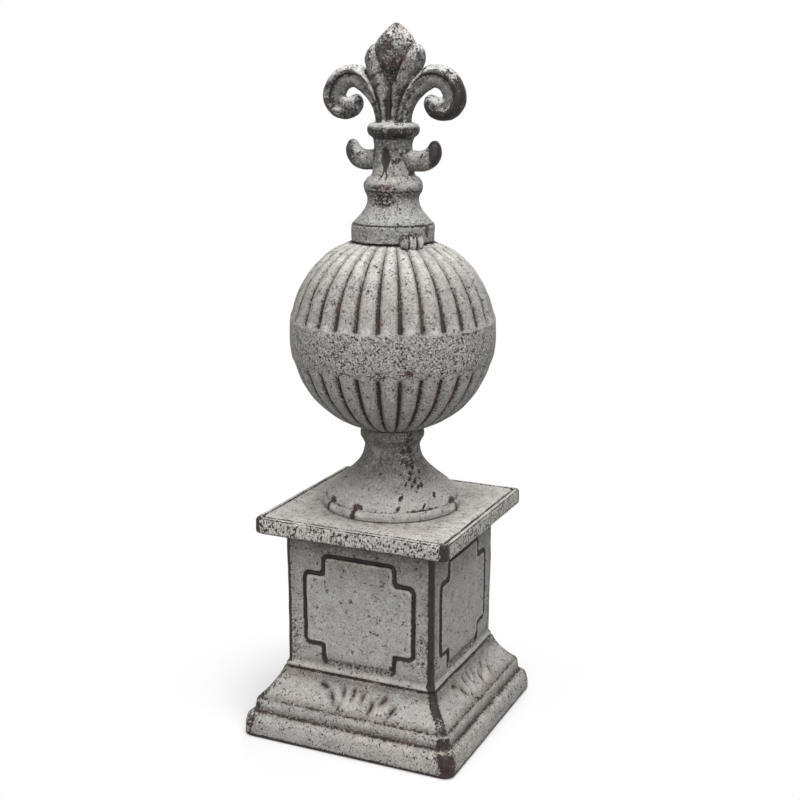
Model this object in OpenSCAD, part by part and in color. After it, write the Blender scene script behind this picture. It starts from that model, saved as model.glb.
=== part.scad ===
// Fleur-de-lis roof finial: a square panelled pedestal, a gadrooned globe on its own
// turned foot, and a fleur-de-lis that rises from a collar on top of the globe.
// Millimetres, +Z up, underside of the pedestal on z = 0, broad side of the fleur facing -Y.

/* [Pedestal] */

// Width of the square bottom block
base_w = 229; // [205:1:275]
// Height of the bottom block up to the notch above its rounded shoulder
base_h = 25.5; // [21:0.5:31]
// Radius of the four upright corners of the bottom block
base_corner = 10; // [6:0.5:13]
// Width of the second step
step_w = 211; // [200:1:216]
// Height of the second step
step_h = 12.5; // [10:0.5:15]
// Height of the hollow slope between the second step and the die
slope_h = 33; // [27:1:40]
// Width of the square die
die_w = 158.8; // [134:0.2:188]
// Height of the plain die
die_h = 141; // [118:1:170]
// Radius of the die's upright edges
die_corner = 3.5; // [2:0.5:6]
// Width of the cap slab
slab_w = 204.4; // [190:0.2:240]
// Thickness of the cap slab
slab_t = 17.5; // [15:0.5:21]

/* [Panels and leaf gouges] */

// Width of the incised panel on each face
panel_w = 118; // [98:1:126]
// Height of the incised panel
panel_h = 113; // [95:1:116]
// Width and height of the square notch out of each panel corner
panel_notch = 20; // [14:0.5:26]
// Width of the incised line
line_w = 3.6; // [2.4:0.2:5]
// Depth of the incised line
line_d = 2.2; // [1:0.2:3.5]
// Number of short leaf gouges in each fan
gouges = 7; // [5:2:9]
// Length of one gouge
gouge_l = 15; // [12:0.5:18]

/* [Globe and foot] */

// Width of the globe across its reeds
globe_w = 201.2; // [170:0.2:242]
// How much the globe is flattened, top to bottom, against its width
globe_flat = 6; // [3:0.5:10]
// Number of grooves around the globe
grooves = 29; // [23:1:33]
// Radius of the round groove section
groove_r = 4.2; // [3:0.2:5.4]
// Depth of a groove at the belt
groove_d = 3.6; // [2.6:0.2:4.2]
// Height of the plain belt
belt_h = 36; // [30:1:44]
// How far the belt stands proud of the reeds
belt_proud = 1.3; // [0.6:0.1:2.4]
// Radius of the foot's rim
foot_r = 69.5; // [58:0.5:84]
// Radius of the ring under the globe
foot_ring_r = 32.2; // [30:0.2:38]
// Radius of the foot's narrowest part
foot_neck_r = 27.7; // [24:0.2:29]

/* [Fleur-de-lis] */

// Radius of the collar that covers the globe's crown
collar_r = 40.4; // [36:0.2:46]
// Height of the collar's upright band
collar_h = 17; // [14:0.5:20]
// Radius of the neck above the collar
neck_r = 24.8; // [22:0.2:27]
// Height of the fleur-de-lis above its seat on the globe
crest_h = 204.9; // [180:0.1:246]
// Distance from the axis to the outermost point of each scroll
scroll_reach = 74.4; // [66:0.2:88]
// Half of the front-to-back thickness of the scrolls
scroll_depth = 10.5; // [8:0.5:13]
// Radius of the knot ring
knot_r = 26.7; // [24:0.2:30]
// Distance from the axis to the outermost point of each lower hook
hook_reach = 50.5; // [44:0.5:60]

/* [Hidden] */

$fn = 48;
eps = 0.01;
z_step = base_h;
z_slope = base_h + step_h;
z_die = z_slope + slope_h;
z_slab = z_die + die_h;
z_foot = z_slab + slab_t;
shoulder_r = 7;
shoulder_lip = 1;
shoulder_in = base_w / 2 - shoulder_r;
step_r = 4;
slab_r = 3;
slab_corner = 5;
step_corner = base_corner - 2;
slope_top = die_w / 2 + 2.6;
slope_low = step_w / 2 - 2.5;
bead_r = 2;
bead_in = 0.6;
panel_drop = 6.5;
panel_corner = 6;
cut_over = 20;

// foot and globe levels above the slab
rim_h = 7;
bead_up = 2.2;
neck_z = 61;
ring_z = 73.4;
ring_r = 6;
ring_to_globe = 7.8;
ring_lap = 4;
globe_r = globe_w / 2;
arc_in = (globe_r * globe_r - pow(globe_r - globe_flat / 2, 2)) / (2 * globe_r);
arc_r = globe_r - arc_in;
globe_z = z_foot + ring_z + sqrt(arc_r * arc_r - pow(foot_ring_r - ring_lap - arc_in, 2)) + ring_to_globe;
belt_drop = 5;
seat_up = sqrt(arc_r * arc_r - pow(collar_r - arc_in, 2));
z_seat = globe_z + seat_up;

// levels of the fleur-de-lis as parts of its height
function up(part) = part * crest_h;
knot_z = up(0.519);
knot_thick = 7;
hook_z = up(0.377);
tip_z = crest_h;

// ---- helpers ----

// square with rounded corners, centred
module round_square(w, h, r)
{
  square([w - 2 * r, h], center = true);
  square([w, h - 2 * r], center = true);
  for (sx = [-1, 1])
    for (sy = [-1, 1])
      translate([sx * (w / 2 - r), sy * (h / 2 - r)]) circle(r);
}

// a half profile (x out, y up) run square around the axis with mitred corners
module mitred(len)
{
  intersection_for (turn = [0, 90])
    rotate([0, 0, turn])
      rotate([90, 0, 0])
        linear_extrude(height = len, center = true)
          for (side = [0, 1]) mirror([side, 0]) children();
}

// panel outline: a rectangle with a square notch out of every corner, corners rounded
module panel_shape(w, h, n, r)
{
  round_square(w, h - 2 * n, r);
  round_square(w - 2 * n, h, r);
}

// closed solid skinned over a list of equal rings of points
module skin(rings)
{
  n = len(rings[0]);
  m = len(rings);
  pts = [for (ring = rings) for (p = ring) p];
  sides = [for (i = [0 : m - 2]) for (j = [0 : n - 1]) for (half = [0, 1])
    let (a = i * n + j, b = i * n + (j + 1) % n, c = a + n, d = b + n)
      half == 0 ? [a, b, d] : [a, d, c]];
  first = [for (j = [1 : n - 2]) [0, j + 1, j]];
  last = [for (j = [1 : n - 2]) let (k = (m - 1) * n) [k, k + j, k + j + 1]];
  polyhedron(points = pts, faces = concat(sides, first, last), convexity = 6);
}

// ---- pedestal ----

module bottom_block()
{
  intersection()
  {
    mitred(base_w + cut_over) union()
    {
      square([base_w / 2, base_h - shoulder_r - shoulder_lip]);
      square([shoulder_in, base_h]);
      translate([shoulder_in, base_h - shoulder_r - shoulder_lip]) circle(shoulder_r);
    }
    linear_extrude(height = base_h) round_square(base_w, base_w, base_corner);
  }
}

module second_step()
{
  translate([0, 0, z_step - eps]) intersection()
  {
    mitred(base_w) union()
    {
      square([step_w / 2, step_h - step_r]);
      square([step_w / 2 - step_r, step_h]);
      translate([step_w / 2 - step_r, step_h - step_r]) circle(step_r);
    }
    linear_extrude(height = step_h + eps) round_square(step_w, step_w, step_corner);
  }
}

module hollow_slope()
{
  sag = 2.1;
  sag_r = slope_h * sag;
  run = slope_low - slope_top;
  chord = sqrt(run * run + slope_h * slope_h);
  back = sqrt(sag_r * sag_r - chord * chord / 4);
  mid = [(slope_low + slope_top) / 2, slope_h / 2];
  out = [slope_h / chord, run / chord];
  translate([0, 0, z_slope - eps]) mitred(base_w) difference()
  {
    polygon([[0, 0], [slope_low, 0], [slope_low, eps], [slope_top, slope_h], [0, slope_h]]);
    translate(mid + out * back) circle(sag_r, $fn = 96);
  }
}

// fan of short gouges below the die on one face
module gouge_fan()
{
  lean = atan2(slope_low - slope_top, slope_h);
  spread = 9;
  pitch = 10.5;
  fan_fall = 1.6;
  translate([0, -(slope_low + slope_top) / 2 + 3.2, z_slope + slope_h * 0.55])
    rotate([-lean, 0, 0])
      for (k = [-(gouges - 1) / 2 : (gouges - 1) / 2])
        translate([k * pitch, 0, 2 - abs(k) * fan_fall])
          rotate([0, k * spread, 0])
            translate([0, 0, -gouge_l / 2]) cylinder(h = gouge_l, r1 = 1.2, r2 = 3);
}

module die()
{
  translate([0, 0, z_die - eps])
    linear_extrude(height = die_h + 2 * eps) round_square(die_w, die_w, die_corner);
  translate([0, 0, z_die + bead_r / 2])
    mitred(base_w) translate([die_w / 2 - bead_in, 0]) circle(bead_r);
}

module panel_line()
{
  translate([0, -die_w / 2 + line_d, z_die + die_h / 2 - panel_drop])
    rotate([90, 0, 0])
      linear_extrude(height = line_d + 5) difference()
      {
        panel_shape(panel_w + line_w, panel_h + line_w, panel_notch, panel_corner + 1);
        panel_shape(panel_w - line_w, panel_h - line_w, panel_notch, panel_corner - 1);
      }
}

module cap_slab()
{
  line_in = 5;
  line_wide = 1.5;
  line_deep = 1;
  translate([0, 0, z_slab]) difference()
  {
    intersection()
    {
      mitred(slab_w + cut_over) union()
      {
        translate([0, slab_r]) square([slab_w / 2, slab_t - 2 * slab_r]);
        square([slab_w / 2 - slab_r, slab_t]);
        for (up = [slab_r, slab_t - slab_r])
          translate([slab_w / 2 - slab_r, up]) circle(slab_r);
      }
      linear_extrude(height = slab_t) round_square(slab_w, slab_w, slab_corner);
    }
    translate([0, 0, slab_t - line_deep]) linear_extrude(height = 2 * line_deep) difference()
    {
      square(slab_w - 2 * line_in, center = true);
      square(slab_w - 2 * (line_in + line_wide), center = true);
    }
  }
}

module pedestal()
{
  color([0.62, 0.61, 0.58]) difference()
  {
    union()
    {
      bottom_block();
      second_step();
      hollow_slope();
      die();
      cap_slab();
    }
    for (side = [0 : 3]) rotate([0, 0, side * 90])
    {
      panel_line();
      gouge_fan();
    }
  }
}

// ---- globe and its foot ----

module globe_body()
{
  intersection()
  {
    rotate_extrude($fn = 144) intersection()
    {
      translate([arc_in, 0]) circle(arc_r, $fn = 144);
      translate([0, -globe_r]) square([globe_w, 2 * globe_r]);
    }
    translate([0, 0, -globe_r - eps]) cylinder(h = globe_r + seat_up, r = globe_w, $fn = 48);
  }
}

module groove_cut()
{
  from = 148;
  rotate([90, 0, 0])
    rotate([0, 0, -from / 2 - 2])
      rotate_extrude(angle = from + 2, $fn = 72)
        translate([globe_r - groove_d + groove_r, 0]) circle(groove_r, $fn = 24);
}

// outward run of the foot's flare, 0 at the neck and 1 at the rim line
function flare(u) = 0.78 * pow(sin(90 * pow(u, 1.35)), 2) + 0.22 * u;

module foot_body()
{
  steps = 16;
  line_r = foot_r - 3.6;
  curve = [for (k = [0 : steps]) let (u = k / steps)
    [foot_neck_r + (line_r - foot_neck_r) * flare(u), neck_z - (neck_z - rim_h - 4) * u]];
  rotate_extrude($fn = 96) union()
  {
    polygon(concat([[0, 0], [0, neck_z]], curve, [[line_r - 1, rim_h], [line_r - 1, 0]]));
    translate([0, neck_z - eps]) square([foot_neck_r, ring_z - neck_z]);
    square([foot_r - bead_up, rim_h + 1]);
    translate([0, bead_up]) square([foot_r, rim_h - bead_up]);
    for (up = [bead_up, rim_h]) translate([foot_r - bead_up, up]) circle(bead_up);
    translate([foot_ring_r - ring_r, ring_z]) circle(ring_r);
    square([foot_ring_r - ring_r, ring_z + ring_r]);
  }
}

module globe()
{
  color([0.66, 0.65, 0.62]) union()
  {
    translate([0, 0, globe_z])
    {
      difference()
      {
        globe_body();
        for (k = [0 : grooves - 1]) rotate([0, 0, k * 360 / grooves]) groove_cut();
      }
      translate([0, 0, -belt_drop - belt_h / 2]) belt();
    }
    translate([0, 0, z_foot]) foot_body();
  }
}

module belt()
{
  rotate_extrude($fn = 144) intersection()
  {
    translate([arc_in, belt_drop + belt_h / 2]) circle(arc_r + belt_proud, $fn = 144);
    square([globe_w, belt_h]);
  }
}

// ---- fleur-de-lis ----

// ellipse of points in the plane square to a path: centre, outward direction, half sizes
function ring_at(c, dir, half_w, half_d, n) =
  [for (j = [0 : n - 1]) let (t = j * 360 / n)
    [c[0] + dir[0] * half_w * cos(t), half_d * sin(t), c[1] + dir[1] * half_w * cos(t)]];

// value between listed [position, value] pairs
function mix(table, at) = lookup(at, table);

function bezier(p, t) =
  pow(1 - t, 3) * p[0] + 3 * t * pow(1 - t, 2) * p[1] + 3 * t * t * (1 - t) * p[2] + pow(t, 3) * p[3];

function unit(v) = v / norm(v);

// turned work of the top piece: collar, neck ring, waist and knot
module crest_turning()
{
  steps = 10;
  flare_h = 22;
  ring_up = 53;
  ring_thick = 7.2;
  ring_in = neck_r + 3.9 - ring_thick;
  waist_r = 19;
  throat = [for (k = [0 : steps]) let (u = k / steps)
    [neck_r + (collar_r - neck_r) * (1 - flare(u)), collar_h + flare_h * u]];
  rotate_extrude($fn = 48) union()
  {
    polygon(concat([[0, 0], [collar_r, 0], [collar_r, collar_h - 1]], throat,
      [[neck_r, ring_up - 11], [neck_r + 3.7, ring_up - 3], [0, ring_up]]));
    translate([ring_in, ring_up]) circle(ring_thick, $fn = 20);
    square([ring_in, ring_up + ring_thick]);
    square([waist_r, knot_z]);
    translate([knot_r - knot_thick, knot_z]) circle(knot_thick, $fn = 20);
    square([knot_r - knot_thick, knot_z + knot_thick]);
  }
}

// leaf skinned over lobed oval sections: rows are [height, half width, half depth]
module leaf(rows, lobes, lobe_d, n)
{
  skin([for (row = rows)
    [for (j = [0 : n - 1])
      let (t = -j * 360 / n, in = 1 - lobe_d * (0.5 - 0.5 * cos(lobes * t)))
      [row[1] * in * cos(t), row[2] * in * sin(t), row[0]]]]);
}

module shoulder_leaf()
{
  wide = 30.5;
  leaf([[up(0.53), 17, 15], [up(0.57), 17.5, 14], [up(0.62), 17.5, 12.5], [up(0.67), 20, 12],
    [up(0.72), 24.5, 12], [up(0.76), 28, 12], [up(0.8), wide - 0.4, 11.5], [up(0.835), wide, 10.5],
    [up(0.865), wide - 3, 9], [up(0.89), wide - 8, 7], [up(0.905), wide - 16, 4]], 10, 0.14, 36);
}

module bud()
{
  wide = 22;
  leaf([[up(0.66), 4, 8], [up(0.71), 8, 12.5], [up(0.76), 13, 15], [up(0.81), 18, 16],
    [up(0.86), wide - 0.5, 15.5], [up(0.9), wide - 1, 14], [up(0.93), wide - 4, 12],
    [up(0.955), wide - 8.5, 9.5], [up(0.975), wide - 13, 6.5], [up(0.99), wide - 17.5, 3.5],
    [tip_z, 0.8, 0.8]], 4, 0.05, 24);
}

// right-hand scroll: out of the stem, over the top and round into its own eye
module scroll()
{
  coil = 11.7;
  body = 11.2;
  cx = scroll_reach - coil - body + 0.6;
  cz = up(0.6625);
  open_from = 30;
  top_a = 125;
  end_a = -190;
  lead = 9;
  root_w = 6;
  root_grow = 4.6;
  turns = 28;
  side_n = 16;
  spread = function (a) coil + 9 * pow(max(0, a - open_from) / 85, 1.5);
  at = function (a) [cx + spread(a) * cos(a), cz + spread(a) * sin(a)];
  join = at(top_a);
  slope = [sin(top_a), -cos(top_a)];
  root = [[13, up(0.53)], [10, up(0.64)], join - 17 * slope, join];
  widths = [[-190, 1], [-184, 4], [-170, 6.5], [-150, 8.8], [-110, 10.6], [-40, 11.2], [60, 11], [125, 10.6]];
  depths = [[-190, 1], [-180, 5], [-150, 8], [-60, scroll_depth - 0.5], [125, scroll_depth]];
  rise = [for (k = [0 : lead - 1]) let (t = k / lead, p = bezier(root, t),
    q = bezier(root, t + 0.01), d = unit(q - p))
    ring_at(p, [d[1], -d[0]] * -1, root_w + root_grow * t * t, scroll_depth, side_n)];
  coil_rings = [for (k = [0 : turns]) let (a = top_a + (end_a - top_a) * k / turns)
    ring_at(at(a), [cos(a), sin(a)], mix(widths, a), mix(depths, a), side_n)];
  skin(concat(rise, coil_rings));
}

// right-hand lower hook, turned up at its end
module hook()
{
  bend = 13;
  cx = hook_reach - bend - 8.2;
  cz = hook_z + bend;
  steps = 9;
  end_a = 112;
  side_n = 16;
  thin = 0.4;
  widths = [[0, 10], [40, 9.8], [70, 8.4], [95, 6], [end_a, 3.4]];
  depths = [[0, 11], [60, 9], [95, 7], [end_a, 3.6]];
  inner = [for (x = [2, cx * 0.6]) [x, hook_z, 0, 9.5, 12]];
  outer = [for (k = [0 : steps]) let (a = end_a * k / steps)
    [cx + bend * sin(a), cz - bend * cos(a), a, mix(widths, a), mix(depths, a)]];
  path = concat(inner, outer);
  for (k = [0 : len(path) - 2]) hull() for (p = [path[k], path[k + 1]])
    translate([p[0], 0, p[1]]) rotate([0, 90 - p[2], 0])
      linear_extrude(height = thin, center = true)
        polygon([for (j = [0 : side_n - 1]) [p[3] * cos(j * 360 / side_n), p[4] * sin(j * 360 / side_n)]]);
}

// almond-shaped hollow in the front and back of the waist
module almond_cut()
{
  long = 21;
  wide = 9;
  arc = (long * long / 4 + wide * wide / 4) / wide;
  translate([0, -16.5, up(0.385)]) rotate([90, 0, 0])
    linear_extrude(height = 12) intersection()
    {
      translate([arc - wide / 2, 0]) circle(arc, $fn = 72);
      translate([wide / 2 - arc, 0]) circle(arc, $fn = 72);
    }
}

module crest()
{
  color([0.64, 0.64, 0.62]) translate([0, 0, z_seat]) difference()
  {
    union()
    {
      crest_turning();
      shoulder_leaf();
      bud();
      for (side = [0, 1]) mirror([side, 0, 0])
      {
        scroll();
        hook();
      }
    }
    for (turn = [0, 180]) rotate([0, 0, turn]) almond_cut();
  }
}

pedestal();
globe();
crest();
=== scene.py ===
import math
from functools import partial
import bpy
import numpy as np
from mathutils import Matrix, Vector


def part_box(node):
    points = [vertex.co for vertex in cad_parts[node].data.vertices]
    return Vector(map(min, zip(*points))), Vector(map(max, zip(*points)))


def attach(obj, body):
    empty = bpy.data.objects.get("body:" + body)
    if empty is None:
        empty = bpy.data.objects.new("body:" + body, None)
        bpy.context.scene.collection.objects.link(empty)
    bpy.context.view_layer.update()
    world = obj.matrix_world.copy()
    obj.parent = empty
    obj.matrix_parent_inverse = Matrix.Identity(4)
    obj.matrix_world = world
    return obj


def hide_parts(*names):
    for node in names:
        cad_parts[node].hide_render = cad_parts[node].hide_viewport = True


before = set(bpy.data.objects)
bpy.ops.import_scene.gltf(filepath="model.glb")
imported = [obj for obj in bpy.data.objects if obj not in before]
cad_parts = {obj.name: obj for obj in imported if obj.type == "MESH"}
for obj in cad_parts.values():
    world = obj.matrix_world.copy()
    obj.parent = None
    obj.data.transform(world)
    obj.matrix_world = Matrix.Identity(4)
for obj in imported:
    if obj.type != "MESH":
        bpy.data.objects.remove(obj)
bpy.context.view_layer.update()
mm = 0.001
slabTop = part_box("pedestal")[1].z / mm  # the globe's foot stands here
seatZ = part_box("globe")[1].z / mm  # and the collar here
crestLow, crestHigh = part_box("crest")
seatHalf = (crestHigh.y - crestLow.y) / mm / 2  # front to back the collar is the crest's widest part


def hexColour(text):  # sRGB hex to linear RGBA
    value = np.array([int(text[i:i + 2], 16) for i in (0, 2, 4)]) / 255
    linear = np.where(value <= 0.04045, value / 12.92, ((value + 0.055) / 1.055) ** 2.4)
    return (*linear.tolist(), 1.0)


def ramp(low, high, x):  # 0 at low, 1 at high, eased between as 3t^2 - 2t^3
    t = np.clip((np.asarray(x, float) - low) / (high - low), 0, 1)
    return t * t * (3 - 2 * t)


def ridge(x, centre, width):  # bell of height 1 about a centre: exp(-((x - centre) / width)^2)
    return np.exp(-((np.asarray(x, float) - centre) / width) ** 2)


def squareBell(a, b):  # flat-topped bell of two distances: exp(-(a^2 + b^2)^2)
    return np.exp(-(a ** 2 + b ** 2) ** 2)


latticeSide = 24
lattice = np.random.default_rng(7).random((latticeSide, latticeSide, latticeSide))


def lumps(points, size, shift=0.0):
    # smooth random hills between -1 and 1: the eased blend of the eight lattice values round
    # each point, the lattice being size mm apart
    p = points / size + shift + 100.0
    cell = np.floor(p).astype(int)
    f = p - cell
    f = f * f * (3 - 2 * f)
    total = 0
    for corner in np.ndindex(2, 2, 2):
        dx, dy, dz = corner
        weight = (np.abs(1 - dx - f[..., 0]) * np.abs(1 - dy - f[..., 1]) * np.abs(1 - dz - f[..., 2]))
        at = (cell + corner) % latticeSide
        total = total + weight * lattice[at[..., 0], at[..., 1], at[..., 2]]
    return total * 2 - 1


def roundedLine(corners, step):
    # a 2-D line of (x, z, radius) corners: each corner becomes a circular arc, written as a
    # weighted quadratic curve, and the straights are cut into lengths of about one step
    bits = []
    last = len(corners) - 1
    for i, (x, z, radius) in enumerate(corners):
        here = np.array([x, z], float)
        if radius == 0 or i in (0, last):
            bits.append(here[None])
            continue
        back = np.array(corners[i - 1][:2], float) - here
        ahead = np.array(corners[i + 1][:2], float) - here
        backLength, aheadLength = np.linalg.norm(back), np.linalg.norm(ahead)
        back, ahead = back / backLength, ahead / aheadLength
        half = 0.5 * math.acos(float(np.clip(back @ ahead, -0.9999, 0.9999)))
        reach = min(radius / math.tan(half), 0.48 * backLength, 0.48 * aheadLength)
        t = np.linspace(0, 1, 2 + round((math.pi - 2 * half) / 0.38))[:, None]  # more round a sharp turn
        start, end = here + back * reach, here + ahead * reach
        pull = 2 * math.sin(half) * t * (1 - t)
        bits.append(((1 - t) ** 2 * start + pull * here + t ** 2 * end) / ((1 - t) ** 2 + pull + t ** 2))
    line = np.vstack(bits)
    out = [line[:1]]
    for a, b in zip(line[:-1], line[1:]):
        count = max(1, math.ceil(np.linalg.norm(b - a) / step))
        out.append(a + (b - a) * (np.arange(1, count + 1) / count)[:, None])
    line = np.vstack(out)
    return line[np.r_[True, np.linalg.norm(np.diff(line, axis=0), axis=1) > 1e-4]]


def spaced(values, low, high, least):  # sorted places between two ends, none closer than least
    values = np.unique(np.round(np.clip(values, low, high), 2))
    return values[np.r_[True, np.diff(values) > least]]


def closedGrid(points):
    # quads over a grid of (row, column) points that wraps round, with one middle point closing each
    # end; a triangle is a face whose last two corners are the same
    rows, columns = points.shape[:2]
    i, j = np.meshgrid(np.arange(rows - 1), np.arange(columns), indexing="ij")
    here, beside = i * columns + j, i * columns + (j + 1) % columns
    walls = np.stack([here, beside, beside + columns, here + columns], -1).reshape(-1, 4)
    first, lastRow = np.arange(columns), (rows - 1) * columns
    second = (first + 1) % columns
    foot, head = np.full(columns, rows * columns), np.full(columns, rows * columns + 1)
    under = np.stack([second, first, foot, foot], 1)
    over = np.stack([lastRow + first, lastRow + second, head, head], 1)
    middles = np.array([points[0].mean(0), points[-1].mean(0)])
    return np.vstack([points.reshape(-1, 3), middles]), np.vstack([walls, under, over])


def setMark(data, key, values):
    mark = data.attributes.get(key) or data.attributes.new(key, "FLOAT", "POINT")
    mark.data.foreach_set("value", np.clip(values, 0, 1).astype(np.float32).ravel())


def meshFrom(name, points, faces, marks=None):  # points in mm; marks are grids of values from 0 to 1
    data = bpy.data.meshes.new(name)
    isQuad = faces[:, 2] != faces[:, 3]
    loops = np.concatenate([faces[isQuad].ravel(), faces[~isQuad][:, :3].ravel()])
    sizes = np.r_[np.full(isQuad.sum(), 4), np.full((~isQuad).sum(), 3)]
    data.vertices.add(len(points))
    data.vertices.foreach_set("co", (np.asarray(points, float) * mm).astype(np.float32).ravel())
    data.loops.add(len(loops))
    data.loops.foreach_set("vertex_index", loops.astype(np.int32))
    data.polygons.add(len(sizes))
    data.polygons.foreach_set("loop_start", (np.cumsum(sizes) - sizes).astype(np.int32))
    data.polygons.foreach_set("use_smooth", np.ones(len(sizes), bool))
    data.update(calc_edges=True)
    data.validate()
    for key, values in (marks or {}).items():
        setMark(data, key, np.r_[values.ravel(), 0, 0])  # the two middle points carry none
    piece = bpy.data.objects.new(name, data)
    bpy.context.scene.collection.objects.link(piece)
    return piece


def addNode(tree, kind, inputs=(), **settings):
    # adds one node and gives back its outputs; inputs are values or other outputs, listed in order
    # or keyed by socket, and settings are the node's own properties
    made = tree.nodes.new("ShaderNode" + kind)
    for key, value in settings.items():
        setattr(made, key, value)
    for socket, value in (inputs.items() if isinstance(inputs, dict) else enumerate(inputs)):
        if isinstance(value, bpy.types.NodeSocket):
            tree.links.new(value, made.inputs[socket])
        else:
            made.inputs[socket].default_value = value
    return made.outputs


def agedPaint(name, look):
    # Distressed chalky paint, brushed thick over a dark brown primer on a rough casting: matte and
    # mottled, rubbed through on arrises, dark in every groove, full of pinholes and short crackle.
    # Some of the colour is painted light: cream laid on up-facing faces and ridges as painted highlight, and
    # a brown wash laid in hollows and under overhangs as painted shade.
    material = bpy.data.materials.new(name)
    material.use_nodes = True
    material.node_tree.nodes.clear()
    add = partial(addNode, material.node_tree)
    place = add("TexCoord")["Object"]
    worn, pits, pale, stain, dirtAndShade, streak, dot = (
        add("Attribute", attribute_name=key)["Fac"]
        for key in ("worn", "pits", "pale", "stain", "dirtAndShade", "streak", "spot"))
    paint = {key: hexColour(value) for key, value in look.items() if isinstance(value, str)}

    # noise layers, each cut to a band: size in mm, detail, roughness, distortion, then the band's
    # lower and upper edge and the values it gives there
    layers = dict(
        warmth=(46, 4, 0.55, 0, 0.36, 0.64, 0, 1), blush=(17, 4, 0.6, 0.6, 0.52, 0.74, 0, 0.45),
        creamDustAndHighlight=(9, 4, 0.65, 0, 0.28, 0.58, 0, 1), grain=(1.7, 3, 0.7, 0, 0.30, 0.72, 0.72, 1.22),
        cloud=(11, 4, 0.62, 0, 0.30, 0.72, 0.86, 1.08), damp=(14, 4, 0.6, 0, 0.22, 0.60, 0.62, 1),
        ragged=(2.6, 5, 0.75, 0, 0.25, 0.75, -0.36, 0.36), drift=(8, 3, 0.55, 0, 0.35, 0.65, -0.04, 0.03),
        wide=(7, 3, 0.6, 0, 0.45, 0.66, 0, 1), narrow=(3, 2, 0.55, 0, 0.42, 0.60, 0, 1),
        brown=(13, 4, 0.55, 0, 0.38, 0.66, 0, 1), dusty=(2.4, 3, 0.55, 0, 0.55, 0.75, 0, 0.30),
        scrap=(2.3, 4, 0.65, 0.8, 0.60, 0.66, 0, 1), scrapArea=(7, 2, 0.55, 0, 0.46, 0.62, 0, 1),
        rust=(6, 4, 0.65, 0, 0.44, 0.62, 0, 0.75))
    for at, (cell, least, most) in enumerate(look["holes"]):
        layers[f"crowd{at}"] = (cell * 5, 2, 0.55, 0, 0.35, 0.65, -0.10, 0.16)
        layers[f"wobble{at}"] = (1.1, 2, 0.55, 0, 0.2, 0.8, -least, least)
    layer = {}
    for key, (size, detail, rough, distort, low, high, toLow, toHigh) in layers.items():
        fac = add("TexNoise", dict(Vector=place, Scale=1 / (size * mm), Detail=detail, Roughness=rough,
                                   Distortion=distort))["Fac"]
        layer[key] = add("MapRange", [fac, low, high, toLow, toHigh], interpolation_type="SMOOTHSTEP")[0]

    # the finest grain: round blobs, or leaning dashes where the streak mark is high
    blobs = add("TexNoise", dict(Vector=place, Scale=1 / (look["speck"] * mm), Detail=2.5, Roughness=0.55,
                                 Distortion=0.5))["Fac"]
    leaning = add("Mapping", dict(Vector=place, Rotation=(0.7, 0.6, 0.0), Scale=(1.0, 1.0, 0.48)))[0]
    dashes = add("TexNoise", dict(Vector=leaning, Scale=1 / (1.7 * mm), Detail=2.0, Distortion=0.4))["Fac"]
    fine = add("Mix", {0: streak, 2: blobs, 3: dashes}, data_type="FLOAT")[0]

    # rubbed-through paint: the worn mark, its edge broken up by noise
    edge = add("Math", [worn, layer["ragged"]], operation="ADD")[0]
    bare = add("MapRange", [edge, 0.42, 0.60, 0, 1], interpolation_type="SMOOTHSTEP")[0]

    # pinholes: the fine grain's own peaks, more of them where the pits mark is high
    much = add("Math", [pits, 0.20, layer["drift"]], operation="MULTIPLY_ADD")[0]
    peak = add("Math", [fine, much], operation="ADD")[0]
    peak = add("Math", [peak, 0.730], operation="SUBTRACT")[0]
    holes = add("Math", [peak, 22.0], operation="MULTIPLY", use_clamp=True)[0]
    for at, (cell, least, most) in enumerate(look["holes"]):
        # scattered rounder holes, whose size follows the cell's random colour
        cells = add("TexVoronoi", dict(Vector=place, Scale=1 / (cell * mm)))
        pick = add("SeparateColor", [cells["Color"]])
        amount = add("Math", [pits, 0.40, layer[f"crowd{at}"]], operation="MULTIPLY_ADD")[0]
        chosen = add("Math", [amount, pick[0]], operation="SUBTRACT")[0]
        chosen = add("Math", [chosen, 3.0], operation="MULTIPLY", use_clamp=True)[0]
        size = add("Math", [pick[1], 0.45], operation="ADD")[0]
        size = add("Math", [size, most], operation="MULTIPLY")[0]
        size = add("Math", [chosen, size], operation="MULTIPLY")[0]
        rim = add("Math", [cells["Distance"], layer[f"wobble{at}"]], operation="ADD")[0]
        depth = add("Math", [size, rim], operation="SUBTRACT")[0]
        depth = add("MapRange", [depth, 0.0, 0.10, 0, 1], interpolation_type="SMOOTHSTEP")[0]
        holes = add("Math", [holes, depth], operation="MAXIMUM")[0]

    # crackle: short dark gaps along bent cell borders, only in patches
    bent = add("TexNoise", dict(Vector=place, Scale=1 / (5 * mm), Detail=2.0))["Color"]
    moved = add("VectorMath", {0: bent, "Scale": 4.5 * mm}, operation="SCALE")[0]
    moved = add("VectorMath", [place, moved], operation="ADD")[0]
    cracks = add("TexVoronoi", dict(Vector=moved, Scale=1 / (look["crackle"] * mm)),
                 feature="DISTANCE_TO_EDGE")["Distance"]
    thin = add("MapRange", [cracks, 0.11, 0.03, 0, 1], interpolation_type="SMOOTHSTEP")[0]
    patches = add("Math", [pits, 0.8, layer["wide"]], operation="MULTIPLY_ADD")[0]
    patches = add("Math", [patches, layer["narrow"]], operation="MULTIPLY")[0]
    broken = add("MapRange", [patches, 0.66, 0.9, 0, 1], interpolation_type="SMOOTHSTEP")[0]
    crackle = add("Math", [thin, broken], operation="MULTIPLY")[0]
    gone = add("Math", [holes, crackle], operation="MAXIMUM")[0]
    gone = add("Math", [bare, gone], operation="MAXIMUM", use_clamp=True)[0]

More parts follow.
